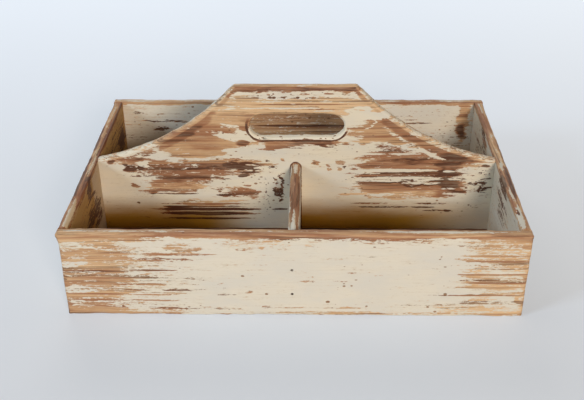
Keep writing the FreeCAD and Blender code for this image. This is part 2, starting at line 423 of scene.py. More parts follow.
def flank_centre():
    """The centre of the handle board's right hollow flank, as (x, z) in millimetres."""
    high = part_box("handle_board")[1]
    foot_x, top = high[0] / MM, high[2] / MM
    chord = Vector((foot_x - HANDLE_TOP_LENGTH / 2, RIM_Z - top))
    middle = Vector((foot_x + HANDLE_TOP_LENGTH / 2, RIM_Z + top)) / 2
    outward = Vector((-chord.y, chord.x)).normalized()
    return middle + outward * math.sqrt(FLANK_RADIUS**2 - (chord.length / 2) ** 2)


def from_handle_edge(net, point):
    """How far inside the handle board's upper outline a point lies: its flat top or a hollow flank."""
    hollow = flank_centre()
    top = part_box("handle_board")[1][2] / MM
    x, _, z = net.split(point)
    side = net.math("ABSOLUTE", x)
    to_hollow = net.join(net.sub(side, hollow.x), net.sub(z, hollow.y), 0.0)
    from_flank = net.sub(net.vector("LENGTH", to_hollow), FLANK_RADIUS)
    from_top = net.sub(top, z)
    return net.math("MINIMUM", net.sub(from_flank, FLANK_INSET), from_top)


def from_slot(net, point):
    """How far a point of the handle board's faces lies outside the hand slot's straight inside."""
    x, _, z = net.split(point)
    along = net.math("ABSOLUTE", net.sub(x, SLOT_SHIFT))
    past = net.math("MAXIMUM", net.sub(along, SLOT_REACH), 0.0)
    from_middle = net.vector("LENGTH", net.join(past, net.sub(z, SLOT_Z), 0.0))
    return net.sub(from_middle, SLOT_HEIGHT / 2)


class Field:
    """The wear and tone of one board, which its rubbed arrises and placed spots add to."""

    def __init__(self, net, wear, tone):
        self.net, self.wear, self.tone = net, wear, tone

    def add(self, where, wear, tone=0.0):
        """Adds to the wear and the tone where the mask is 1."""
        if wear:
            self.wear = self.net.mul_add(where, wear, self.wear)
        if tone:
            self.tone = self.net.mul_add(where, tone, self.tone)

    def add_spots(self, point, spots):
        """spots are (place, reach, wear, tone): a spot's middle and half sizes along X, Y and Z."""
        for centre, half, wear, tone in spots:
            spot = self.net.node("ShaderNodeGroup", node_tree=PATCH)
            for socket, value in (("Point", point), ("Centre", centre), ("Size", half)):
                self.net.put(spot.inputs[socket], value)
            self.add(spot.outputs[0], wear, tone)


def rub_plain_arrises(net, field, point, ragged, node):
    """Bare wood along a plain board's arrises, most of all along the rim."""
    distance = net.add(board_arris(net, point, node), ragged)
    at_arris = net.fade(distance, 0.8, 4.8)
    height = net.split(point)[2]
    at_rim = net.step(height, RIM_Z - 10.0, RIM_Z - 3.0, start=0.3)
    field.add(net.mul(at_arris, at_rim), wear=1.1, tone=0.15)


def rub_handle_edge(net, field, point, ragged):
    """A pale rubbed edge along the handle board's top and flanks, with a brown band under it.

    Crumbs of paint are left under the band on the right flank."""
    inside = from_handle_edge(net, point)
    x, _, z = net.split(point)
    above_rim = net.step(z, RIM_Z - 4.0, RIM_Z)
    on_flank = net.mul(net.fade(z, *SHOULDER_Z), above_rim)
    width = net.mul_add(net.fade(z, *BAND_WIDENS_Z), BAND_WIDENING, BAND_WIDTH)
    worn_inside = net.sub(net.mul_add(ragged, 1.1, inside), width)
    from_crest = net.mul_add(on_flank, -CREST_WIDTH, inside)
    band = net.mul(net.step(from_crest, 0.4, 1.6), net.fade(worn_inside, -1.2, 1.2))
    field.add(net.mul(band, above_rim), wear=1.0, tone=0.45)
    crumbs = net.mul(net.step(worn_inside, 0.6, 1.6), net.fade(worn_inside, 3.6, 5.4))
    right = net.mul(net.step(x, *CRUMBS_X), on_flank)
    field.add(net.mul(crumbs, right), wear=-0.6)
    field.add(net.mul(net.fade(inside, 2.0, 3.2), above_rim), wear=0.55, tone=-0.1)


def mark_joint(net, field, point):
    """The dark joint line round the divider's end on the handle board."""
    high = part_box("front_divider")[1]
    x, y, z = net.split(point)
    half = high[0] / MM
    past_round = net.math("MAXIMUM", net.sub(z, high[2] / MM - half), 0.0)
    outside = net.sub(net.vector("LENGTH", net.join(x, past_round, 0.0)), half)
    in_front = net.math("LESS_THAN", y, 0.0)
    field.add(net.mul(net.fade(outside, 0.5, 1.3), in_front), wear=1.2, tone=1.2)


def mark_slot(net, field, flecks, point, ragged):
    """The hand slot's flecked lip, worn bare along the top, where the bare wood is also painted paler as a
    painted highlight against the shade of the downward-facing arris, and the dark line round its lower half.
    """
    outside = from_slot(net, point)
    x, _, z = net.split(point)
    lower = net.add(net.mul(x, -0.1), net.sub(SLOT_Z, z))
    lower = net.step(lower, -6.0, 4.0)
    line = net.mul(net.step(outside, SLOT_ARRIS - 0.8, SLOT_ARRIS), lower)
    line = net.mul(line, net.fade(net.mul_add(ragged, 0.35, outside), *SLOT_LINE_ENDS))
    field.add(line, wear=1.3, tone=1.1)
    lip = net.fade(outside, SLOT_ARRIS - 0.6, SLOT_ARRIS + 0.2)
    above = net.step(z, SLOT_Z + 4.0, SLOT_Z + 10.0)
    at_ends = net.step(net.math("ABSOLUTE", x), *SLOT_ENDS_X)
    field.add(lip, wear=net.mul_add(at_ends, -0.6, -0.22), tone=0.2)
    flecks.add(lip, wear=0.9)
    # Bare wood along the lip's top: partly wear, partly a painted highlight, made paler where the arris
    # turns away from the light
    field.add(net.mul(lip, above), wear=1.9, tone=-0.6)


def painted_shade_face(net, node, point):
    """1 on a board's faces that look into the caddy, where the painted shade is, and 0 on its outside.

    On the handle board's front the painted shade thins out towards the right end of each compartment, where
    more light reaches, and on its back it is weaker throughout. On the side walls it is weaker just in front
    of the handle board."""
    x, y, _ = net.split(point)
    if node == "handle_board":
        left = net.step(x, *SHADE_LEFT_X, start=1.0, end=SHADE_LEFT)
        left = net.mul(left, net.math("LESS_THAN", x, 0.0))
        right = net.step(x, *SHADE_RIGHT_X, start=1.0, end=SHADE_RIGHT)
        right = net.mul(right, net.math("GREATER_THAN", x, 0.0))
        in_front = net.math("LESS_THAN", y, 0.0)
        behind = net.mul(net.math("GREATER_THAN", y, 0.0), SHADE_BEHIND)
        return net.mul_add(net.add(left, right), in_front, behind)
    if node in ("left_wall", "right_wall"):
        inside = net.fade(net.math("ABSOLUTE", x), *SHADE_ENDS_X)
        by_handle = net.mul(net.step(y, *SHADE_BY_HANDLE_Y), net.math("LESS_THAN", y, 0.0))
        return net.mul(inside, net.mul_add(by_handle, SHADE_BY_HANDLE - 1.0, 1.0))
    return net.fade(net.math("ABSOLUTE", y), *SHADE_ENDS_Y)


def add_marks(net, order, point, sway, marks):
    """Adds each (field, spots, wander) of marks, with outlines that wander along and across the grain."""
    for field, spots, (along, across) in marks:
        reach = {order[0]: along, order[1]: across, order[2]: 0.0}
        warp = net.vector("MULTIPLY", sway, [reach[letter] for letter in "XYZ"])
        field.add_spots(net.vector("ADD", point, warp), spots)


def put_finish(net, shader, given):
    """Puts the worn paint, with the given inputs, on the shader."""
    finish = net.node("ShaderNodeGroup", node_tree=PAINT)
    for socket, value in given.items():
        net.put(finish.inputs[socket], value)
    bump = net.node("ShaderNodeBump", {"Height": finish.outputs["Height"]})
    bump.inputs["Strength"].default_value = 0.6
    bump.inputs["Distance"].default_value = 0.15 * MM
    net.put(shader.inputs["Base Color"], finish.outputs["Color"])
    net.put(shader.inputs["Roughness"], finish.outputs["Roughness"])
    net.put(shader.inputs["Normal"], bump.outputs["Normal"])
    shader.inputs["Specular IOR Level"].default_value = 0.3


def worn_board(node, order, seed, wear=0.1, tone=0.35, cream=CREAM, painted_shade_depth=0.0, painted_shade_top=45.0, blots=(),
               scratches=(), specks=()):
    """The finish of one board. order names the axes that run along its grain, across it and through it.

    blots and scratches are placed spots that change the wear and the tone, with ragged and with
    nearly straight outlines, and specks are places with many small chips."""
    material, net, shader = new_material(node + "_paint")
    place = net.node("ShaderNodeTexCoord").outputs["Object"]
    point = net.vector("MULTIPLY", place, (1 / MM, 1 / MM, 1 / MM))
    axes = net.split(point)
    grain = net.join(*[axes["XYZ".index(letter)] for letter in order])
    shifted = net.vector("ADD", grain, tuple(seed * shift for shift in SEED_SHIFT))
    rub = net.noise(shifted, (0.03, 0.12, 0.12), detail=4.0, roughness=0.6)
    sway = net.vector("SUBTRACT", rub.outputs["Color"], (0.5, 0.5, 0.5))
    ragged = net.mul_add(rub.outputs["Fac"], EDGE_WANDER, -EDGE_WANDER / 2)

    field = Field(net, wear, tone)
    if node == "handle_board":
        rub_handle_edge(net, field, point, ragged)
    else:
        rub_plain_arrises(net, field, point, ragged, node)
    # The wear of this field is the share of places that have a small chip
    flecks = Field(net, 0.02, 0.0)
    marks = [(field, blots, BLOT_WANDER), (field, scratches, SCRATCH_WANDER), (flecks, specks, SPECK_WANDER)]
    add_marks(net, order, point, sway, marks)
    if node == "handle_board":
        mark_slot(net, field, flecks, point, ragged)
        mark_joint(net, field, point)

    # Painted shade: a brown tint, deepest at the bottom of the inside faces and fading out towards the given
    # height, that stands for the shadow there
    lowness = net.mul_add(ragged, 1.5, axes[2])
    painted_shade = net.step(lowness, painted_shade_top - SHADE_FADE, painted_shade_top, start=painted_shade_depth, end=0.0)
    painted_shade = net.mul(painted_shade, painted_shade_face(net, node, point))
    put_finish(net, shader, {
        "Point": shifted,
        "Cream": linear(cream),
        "Wear": field.wear,
        "Tone": field.tone,
        "Specks": flecks.wear,
        "Painted shade": painted_shade,
    })
    return material


def steel():
    """Dull steel, with rust in spots."""
    material, net, shader = new_material("brad_steel")
    place = net.node("ShaderNodeTexCoord").outputs["Object"]
    rust = net.grey(place, (900.0, 900.0, 900.0), detail=4.0, roughness=0.6)
    net.put(shader.inputs["Base Color"], net.mix(net.step(rust, 0.45, 0.6), linear(STEEL), linear(GRIME)))
    net.put(shader.inputs["Roughness"], net.step(rust, 0.3, 0.7, start=0.4, end=0.8))
    shader.inputs["Metallic"].default_value = 0.6
    return material


def on_face(y, marks, depth=4.0):
    """Spots on a face that looks along Y, from (x, z, half x, half z, wear, tone)."""
    return [((x, y, z), (rx, depth, rz), wear, tone) for x, z, rx, rz, wear, tone in marks]


def on_side(x, marks, depth=4.0):
    """Spots on a face that looks along X, from (y, z, half y, half z, wear, tone)."""
    return [((x, y, z), (depth, ry, rz), wear, tone) for y, z, ry, rz, wear, tone in marks]


def closeness(place, low, high, hollow):
    """1 on a board's arrises, falling to 0 where the sanding ends, for a place in millimetres.

    low and high are the board's corners. hollow is None, or the centre of the handle board's flank."""
    inside = sorted(min(place[k] - low[k], high[k] - place[k]) for k in range(3))
    distance = inside[1]
    if hollow is not None:
        from_flank = (Vector((abs(place.x), place.z)) - hollow).length - FLANK_RADIUS
        past = max(abs(place.x - SLOT_SHIFT) - SLOT_REACH, 0.0)
        from_slot_edge = math.hypot(past, place.z - SLOT_Z) - SLOT_HEIGHT / 2
        distance = min(distance, max(from_flank, 0.0), max(from_slot_edge, 0.0))
    part = clamped(1.0 - distance / ARRIS_REACH)
    return part * part * (3.0 - 2.0 * part)


def cut_across(work, axis, places):
    """Cuts the mesh along planes square to the axis, so that it can be bent there."""
    normal = Vector([1.0 if k == axis else 0.0 for k in range(3)])
    for at in places:
        everything = work.verts[:] + work.edges[:] + work.faces[:]
        bmesh.ops.bisect_plane(work, geom=everything, plane_co=normal * at * MM, plane_no=normal, dist=1e-6)


def cut_for_sanding(work, low, high, lengthwise):
    """Cuts a board's mesh finely near its arrises, and every few millimetres along its long sides."""
    for axis in range(3):
        length = high[axis] - low[axis]
        near = [d for d in ARRIS_CUTS if d < length / 2]
        places = [low[axis] + d for d in near] + [high[axis] - d for d in near]
        if axis == lengthwise or length > LONG_SIDE:
            count = int(length / ARRIS_STEP)
            places += [low[axis] + length * k / count for k in range(1, count)]
        cut_across(work, axis, places)


def rub_down(work, low, high, hollow, seed):
    """Moves the mesh's points inwards near the arrises, unevenly, as sanding by hand does."""
    work.normal_update()
    for vertex in work.verts:
        place = vertex.co / MM
        rubbed = closeness(place, low, high, hollow)
        if rubbed > 0.0:
            wave = noise.noise(place * WAVE_SCALE + Vector((seed, 0, 0)))
            wave += RIPPLE_SHARE * noise.noise(place * RIPPLE_SCALE)
            depth = ARRIS_DEPTH * clamped(ARRIS_MEAN + ARRIS_SWING * wave) * rubbed
            vertex.co -= vertex.normal * depth * MM


def tapered_end(place):
    """How far the front wall's ends are planed in below its rim, in millimetres along X."""
    under_rim = clamped((TAPER_TOP_Z - place.z) / TAPER_FADE)
    planed = under_rim * (TAPER_AT_FOOT + TAPER_GROWTH * clamped(place.z / TAPER_FULL_Z))
    near_end = clamped((abs(place.x) - TAPER_FROM_X) / TAPER_LENGTH)
    return planed * near_end * (1.0 if place.x < 0 else -TAPER_RIGHT_SHARE)


def sanded_board(name, lengthwise, seed):
    """A piece that stands for a board: a copy of its mesh, with the arrises rubbed down."""
    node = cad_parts[name]
    low, high = (Vector(corner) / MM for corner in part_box(name))
    work = bmesh.new()
    work.from_mesh(node.data)
    cut_for_sanding(work, low, high, lengthwise)
    hollow = flank_centre() if name == "handle_board" else None
    rub_down(work, low, high, hollow, seed)
    if name == "front_wall":
        for vertex in work.verts:
            vertex.co.x += tapered_end(vertex.co / MM) * MM
    mesh = bpy.data.meshes.new(name + "_sanded")
    work.to_mesh(mesh)
    work.free()
    mesh.shade_smooth()
    mesh.set_sharp_from_angle(angle=math.radians(SHARP_DEG))
    mesh.materials.append(None)
    piece = bpy.data.objects.new(name + "_sanded", mesh)
    piece.matrix_world = node.matrix_world
    bpy.context.scene.collection.objects.link(piece)
    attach(piece, "root")
    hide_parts(name)
    return piece


# The worn places, listed in millimetres. Each line of a face is a spot: its middle along the board
# and above the table, half its length and half its height, and what it adds to the wear and to the tone.
# In the lists of specks the fifth number is the share of places there that have a small chip.
FRONT_BLOTS = [
    (-205, 42, 66, 78, 0.62, 0.0),
    (-165, 36, 80, 50, 0.25, 0.0),
    (210, 54, 66, 60, 0.66, -0.1),
    (160, 8, 38, 9, 0.45, -0.1),
    (0, 86, 420, 8.2, 0.5, 0.15),
    (-38, 74, 28, 5, 0.5, 0.0),
    (-95, 71, 14, 4, 0.5, 0.0),
    (-150, 4, 70, 6, 0.3, 0.0),
    (-187, 70, 24, 3, -0.5, 0.0),
    (-190, 56, 18, 3.5, -0.45, 0.0),
    (-186, 44, 20, 4, -0.35, 0.0),
    (-190, 28, 22, 4, -0.5, 0.0),
    (-184, 12, 30, 6, -0.45, 0.0),
    (-140, 7, 24, 4, -0.35, 0.0),
    (185, 48, 26, 3, -0.45, 0.0),
    (172, 27, 30, 3, -0.4, 0.0),
    (182, 14, 18, 7, -0.5, 0.0),
]
FRONT_SCRATCHES = [
    (-98, 64.5, 34, 1.5, 0.7, 0.35),
    (-108, 59, 28, 2.2, 0.3, 0.4),
    (-120, 47.8, 20, 0.9, 0.6, 0.6),
    (-128, 40, 16, 0.8, 0.45, 0.3),
    (-130, 33, 22, 1.2, 0.4, 0.2),
    (-98, 26.5, 14, 0.9, 0.7, 0.5),
    (-118, 22, 18, 0.8, 0.6, 0.4),
    (-58, 22, 9, 0.7, 0.7, 0.6),
    (-116, 15.5, 16, 0.8, 0.5, 0.4),
    (20, 8.5, 48, 1.0, 0.5, 0.2),
    (60, 3.0, 80, 1.6, 0.5, 0.1),
    (-80, 7.5, 40, 1.8, 0.4, 0.1),
    (-180, 47, 26, 0.9, 0.4, 0.5),
    (-168, 39.5, 32, 0.9, 0.4, 0.4),
    (-175, 22.5, 30, 0.9, 0.4, 0.4),
    (-160, 16, 34, 0.9, 0.4, 0.3),
    (168, 44.8, 38, 0.8, 0.6, 0.7),
    (158, 22.8, 44, 0.8, 0.7, 0.6),
    (175, 36, 28, 1.1, 0.5, 0.6),
    (166, 31.5, 30, 1.2, 0.6, 0.4),
    (172, 64, 28, 0.9, 0.4, 0.4),
    (174, 58.5, 26, 0.9, 0.4, 0.6),
    (13, 37, 7, 1.2, 0.5, 0.3),
    (41, 37.5, 8, 1.1, 0.5, 0.4),
    (47, 46, 4, 1.1, 0.5, 0.4),
    (-41, 25.5, 3, 1.6, 0.6, 0.4),
    (-25, 9, 3, 1.4, 0.6, 0.5),
]
FRONT_SPECKS = [
    (-14, 31, 30, 9, 0.14, 0),
    (44, 42, 22, 12, 0.1, 0),
    (124, 45, 16, 30, 0.24, 0),
    (0, 8, 200, 6, 0.1, 0),
]
FRONT_INSIDE = [
    (0, 34, 500, 30, 1.2, 0.9),
]
HANDLE_BLOTS = [
    (0, 162, 120, 4.5, 0.7, 0.3),
    (0, 153, 60, 4.5, 0.12, 0.5),
    (-10, 141, 92, 9, 1.0, -0.7),
    (0, 136, 44, 1.6, 0.3, 0.6),
    (20, 101.5, 28, 3.9, 1.25, 0.5),
    (-5, 144, 80, 1.6, 0.2, 0.25),
    (-58, 140, 9, 1.4, -0.8, 0.0),
    (-66, 134.5, 8, 1.2, -0.7, 0.0),
    (14, 136, 34, 1.6, -0.5, 0.0),
    (-68, 127, 36, 11, 1.1, 0.15),
    (-44, 124, 8, 10, 0.8, 0.2),
    (-112, 112, 46, 15, 1.0, 0.25),
    (-98, 95, 30, 9, 1.0, 0.1),
    (-66, 101, 22, 6, 0.55, 0.1),
    (-66, 123, 14, 1.5, -0.8, 0.0),
    (-90, 116, 7, 1.6, -0.8, 0.0),
    (-68, 112.5, 15, 3.0, -0.8, 0.0),
    (-52, 115, 6, 8, -0.6, 0.0),
    (-80, 103, 24, 6, 0.8, 0.1),
    (-105, 103, 24, 1.7, -1.0, 0.0),
    (-136, 96, 13, 3, -0.7, 0.0),
    (-148, 90, 26, 3.0, -0.5, 0.0),
    (3, 101.8, 46, 4, 1.2, 0.5),
    (74, 117, 28, 8, 1.1, 0.2),
    (92, 106, 32, 5.0, 1.15, 0.1),
    (69, 120, 2.4, 5, -0.9, 0.0),
    (62, 112, 12, 1.4, -0.4, 0.0),
    (68, 132, 26, 7, -1.3, 0.0),
    (-95, 80, 74, 5.5, 1.0, 0.55),
    (-50, 78.5, 20, 2.6, 0.9, 0.9),
    (-100, 70, 58, 7, 0.85, 0.6),
    (-110, 60, 34, 6, 0.85, 0.35),
    (-122, 53, 26, 4.5, 0.9, 0.4),
    (-138, 50, 18, 2.4, 0.7, 0.5),
    (-143, 78.5, 7, 2.8, -1.1, 0.0),
    (-105, 77.5, 6, 1.6, -0.7, 0.0),
    (-92, 69.5, 6, 1.2, -0.7, 0.0),
    (-62, 61, 30, 4.5, -0.6, 0.0),
    (-52, 48, 17, 6, 0.9, 0.65),
    (-74, 53.5, 11, 1.3, 0.6, 0.7),
    (-78, 38, 30, 3, 0.85, -0.1),
    (-90, 28, 46, 6, 0.6, 0.7),
    (90, 96, 20, 3.2, 0.7, 0.6),
    (100, 88, 46, 5.5, 0.9, 0.55),
    (110, 79, 60, 6.5, 1.0, 0.65),
    (112, 69, 56, 4.2, 0.9, 0.8),
    (118, 61, 44, 2.6, 0.45, 0.7),
    (112, 55, 60, 6.0, 1.05, 0.45),
    (100, 47, 48, 4.5, 0.8, 0.0),
    (60, 47, 14, 3.5, 0.5, -0.3),
    (149, 64, 17, 24, 0.5, 0.6),
    (82, 48, 9, 2.2, -0.9, 0.0),
    (180, 62, 5, 19, 0.44, 1.3),
]
HANDLE_SCRATCHES = [
    (-20, 145.6, 50, 0.8, -0.6, 0.0),
    (10, 143, 44, 0.8, 0.1, 0.9),
    (-18, 139, 44, 0.8, -0.7, 0.0),
    (16, 138.2, 34, 0.7, 0.2, 0.9),
    (-33, 155.4, 2.6, 0.9, 0.62, 0.25),
    (-38, 150, 3.0, 0.8, 0.62, 0.2),
    (-22, 153, 2.0, 0.9, 0.62, 0.2),
    (-8, 155.4, 5.0, 0.9, 0.6, 0.25),
    (-9, 150.2, 2.2, 0.9, 0.62, 0.2),
    (9, 153.6, 4.6, 0.9, 0.6, 0.2),
    (14, 150, 3.0, 0.9, 0.62, 0.2),
    (32, 153.6, 4.0, 0.9, 0.6, 0.2),
    (46, 153, 4.0, 0.9, 0.6, 0.2),
    (-86, 18.7, 42, 1.2, 1.2, 1.3),
    (-86, 24.3, 46, 2.2, 1.2, 1.3),
    (-86, 29.4, 52, 1.6, 1.2, 1.3),
    (-88, 32.7, 42, 0.9, 0.9, 1.0),
    (-82, 27.0, 38, 0.6, -0.9, 0.0),
    (-84, 21.6, 40, 1.2, -0.9, 0.0),
    (-120, 32, 13, 1.3, 0.8, 0.9),
    (-88, 35.6, 46, 1.1, 0.8, 0.9),
    (-118, 47, 26, 1.0, 0.7, 0.7),
    (-15, 29.5, 8, 1.2, 0.9, 1.3),
    (-15, 40, 2.2, 2.0, 0.8, 1.3),
    (-70, 45.6, 7, 1.3, 0.8, 1.0),
    (-45, 56.8, 5, 1.5, 0.9, 1.1),
    (-65, 63.5, 4, 1.1, 0.8, 0.9),
    (-50, 67.5, 5, 2.0, 0.8, 1.0),
    (-45, 71.5, 9, 1.2, 0.8, 1.0),
    (-20, 77, 5, 1.0, 0.8, 1.2),
    (-160, 75, 6, 3.4, 1.0, 0.9),
    (-150, 75.5, 3.5, 2.4, 0.9, 0.9),
    (-157, 56, 4, 2.4, 1.0, 0.9),
    (-164, 79, 2.4, 1.2, 0.9, 0.9),
    (-178, 82, 3, 2.2, 0.8, 0.8),
    (74, 36.6, 18, 0.9, 0.8, 0.9),
    (130, 36.8, 15, 1.1, 0.8, 1.0),
    (84, 32.6, 27, 1.2, 0.9, 1.0),
    (127, 32.4, 14, 1.0, 0.8, 1.0),
    (135, 29, 10, 1.0, 0.8, 1.1),
    (148, 28.6, 3.4, 1.4, 0.9, 1.2),
    (95, 73.5, 38, 1.7, -1.2, 0.0),
    (147, 72.5, 7, 1.2, -1.1, 0.0),
    (98, 65.5, 38, 1.4, -0.6, 0.0),
    (78, 61.5, 18, 1.0, -0.6, 0.0),
    (118, 59.5, 30, 1.0, -0.6, 0.0),
    (148, 63.5, 10, 1.2, -0.7, 0.0),
    (147, 53.5, 9, 1.3, -1.0, 0.0),
    (152, 48, 9, 1.1, -0.9, 0.0),
    (74, 91.4, 12, 1.0, -0.8, 0.0),
    (104, 91.5, 16, 1.0, -0.8, 0.0),
    (-100, 85.6, 26, 0.9, -0.9, 0.0),
    (19, 82, 4.2, 2.9, 0.85, 0.4),
    (42, 82.4, 4.0, 2.6, 0.85, 0.4),
    (41, 75, 2.8, 2.3, 0.85, 0.4),
    (30, 74.6, 2.6, 1.8, 0.85, 0.4),
    (31, 78.6, 2.2, 1.6, 0.85, 0.4),
    (56, 74.6, 3.4, 1.8, 0.8, 0.7),
    (47, 77, 1.6, 1.4, 0.8, 1.2),
    (40, 44, 4.0, 1.6, 0.5, -0.1),
    (36, 50, 2.0, 1.4, 0.5, -0.1),
    (-14, 85, 2.6, 2.0, 0.7, 0.4),
    (-30, 84, 1.8, 1.2, 0.8, 1.2),
    (-14, 58, 1.6, 12, 1.0, 1.2),
    (-27.5, 46, 0.8, 26, 0.42, 1.2),
    (-20, 56, 1.0, 11, 0.6, 1.2),
    (179, 79, 4.0, 1.6, 0.9, 1.2),
    (182, 60, 3.0, 1.6, 0.8, 1.3),
    (177, 53, 1.6, 4.0, 0.7, 1.3),
    (-17, 48, 2.8, 6, 0.9, 1.1),
    (-52, 103, 5.5, 3.6, 1.4, 0.9),
]
HANDLE_SPECKS = [
    (0, 153, 60, 4.6, 0.95, 0),
    (-28, 56, 20, 32, 0.8, 0),
    (170, 55, 20, 30, 0.5, 0),
    (-130, 84, 50, 8, 0.35, 0),
    (85, 100, 50, 9, 0.5, 0),
    (56, 68, 12, 22, 0.35, 0),
    (150, 32, 30, 10, 0.4, 0),
    (-70, 58, 36, 9, 0.4, 0),
    (-60, 100, 30, 16, 0.2, 0),
]
BACK_BLOTS = [
    (0, 57, 66, 26, 0.72, 0.3),
    (-144, 63, 24, 1.8, 0.45, 1.2),
    (-146, 52, 8, 2.4, 0.5, 1.2),
    (-172, 72, 8, 1.4, 0.4, 1.2),
]
BACK_SCRATCHES = [
    (180, 64, 6.5, 26, 0.8, 0.15),
    (179, 52, 4.5, 7, 0.5, 0.9),
    (5, 57, 50, 1.3, 0.5, 1.3),
    (130, 60, 16, 0.9, 0.6, 0.9),
    (122, 64, 10, 0.8, 0.5, 0.8),
]
BACK_SPECKS = [
    (-120, 62, 60, 14, 0.3, 0),
    (165, 50, 22, 14, 0.5, 0),
    (5, 66, 30, 6, 0.7, 0),
]
LEFT_INSIDE = [
    (-47, 77, 9, 11, 0.7, 1.3),
    (-42, 64, 9, 4, 0.6, 1.2),
    (-52, 47, 20, 10, 0.6, 1.3),
    (-25, 40, 9, 18, 0.6, 1.3),
    (70, 50, 60, 30, 0.3, 1.0),
    (105, 50, 16, 12, 0.6, 1.3),
]
RIGHT_INSIDE = [
    (-44, 79, 15, 9, 0.65, 1.1),
    (-48, 66, 24, 3, 0.5, 1.0),
    (-52, 55, 18, 12, 0.3, 1.0),
    (62, 76, 22, 6, 0.5, 1.0),
    (45, 69, 16, 4, 0.45, 1.0),
    (75, 58, 22, 9, 0.35, 0.9),
]
SIDE_SPECKS = [
    (-60, 55, 50, 30, 0.35, 0),
    (60, 60, 60, 26, 0.35, 0),
]
DIVIDER_BLOTS = [
    (-62, 84, 34, 7, 0.9, 0.5),
    (-118, 84, 12, 7, -0.5, 0.0),
    (-18, 84, 12, 7, -0.2, 0.0),
]
HANDLE_BACK = [
    (0, 162, 120, 4.5, 0.7, 0.3),
    (8, 143, 90, 8, 0.9, -0.2),
    (50, 130, 18, 6, -0.7, 0.0),
    (-100, 108, 60, 16, 0.9, 0.3),
    (92, 112, 50, 16, 0.9, 0.3),
    (70, 116, 22, 3, -0.8, 0.0),
    (-60, 100, 26, 8, 0.5, 0.2),
    (-110, 76, 66, 8, 0.85, 0.6),
    (-84, 62, 50, 5, 0.7, 0.4),
    (110, 84, 60, 7, 0.85, 0.5),
    (130, 68, 46, 6, 0.7, 0.6),
    (30, 58, 44, 5, 0.6, 0.3),
    (0, 8, 420, 7, 0.5, 0.5),
]
BACK_OUTSIDE = [
    (-208, 44, 62, 70, 0.66, 0.0),
    (206, 40, 70, 74, 0.66, 0.0),
    (170, 60, 46, 20, 0.3, 0.1),
    (0, 86, 420, 7, 0.5, 0.1),
    (-60, 4, 130, 6, 0.4, 0.0),
    (70, 70, 46, 5, 0.5, 0.2),
    (-110, 30, 40, 3, 0.5, 0.4),
    (100, 24, 44, 3, 0.5, 0.4),
    (-30, 52, 26, 1.6, 0.5, 0.6),
]
SIDE_OUTSIDE = [
    (-138, 44, 46, 70, 0.66, 0.0),
    (140, 40, 52, 70, 0.66, 0.0),
    (0, 86, 300, 7, 0.4, 0.1),
    (20, 4, 100, 6, 0.4, 0.0),
    (-50, 62, 34, 4, 0.5, 0.3),
    (60, 30, 40, 3, 0.5, 0.4),
    (0, 22, 24, 1.6, 0.5, 0.6),
]
# The walls' rims and ends, with a spot's middle and half sizes given along X, Y and Z
LONG_ENDS = [((x, 0, 42), (3.4, 400, 90), 0.8, 0.1) for x in (-200, 200)]
FRONT_RIM = [
    ((0, -129, 86.5), (400, 9, 4), 0.6, -0.15),
    ((-165, -130, 86), (34, 3, 3), -0.55, 0.0),
    ((10, -133, 86), (48, 2.4, 3), -0.6, 0.0),
    ((125, -130, 86), (44, 2.6, 3), -0.6, 0.0),
]
LEFT_RIM = [
    ((-195, -112, 87), (30, 26, 5), -0.85, 0.0),
    ((-197.5, -10, 86), (1.6, 80, 4), 0.6, 0.9),
    ((-193, 10, 86), (1.4, 60, 4), -0.9, 0.0),
]
RIGHT_RIM = [
    ((195, -112, 87), (30, 24, 5), -0.85, 0.0),
    ((192, -62, 86), (1.8, 34, 4), -1.0, 0.0),
    ((196, -50, 86), (1.6, 50, 4), 0.6, 0.9),
    ((193, -104, 86), (1.4, 5, 4), 0.9, 1.3),
    ((197, 60, 86), (1.4, 50, 4), -0.9, 0.0),
]
SIDE_RIM = [((0, 0, 87.5), (400, 200, 4), 0.9, 0.4)]
BACK_RIM = [((0, 0, 87.5), (400, 200, 4), 0.3, 0.2)]


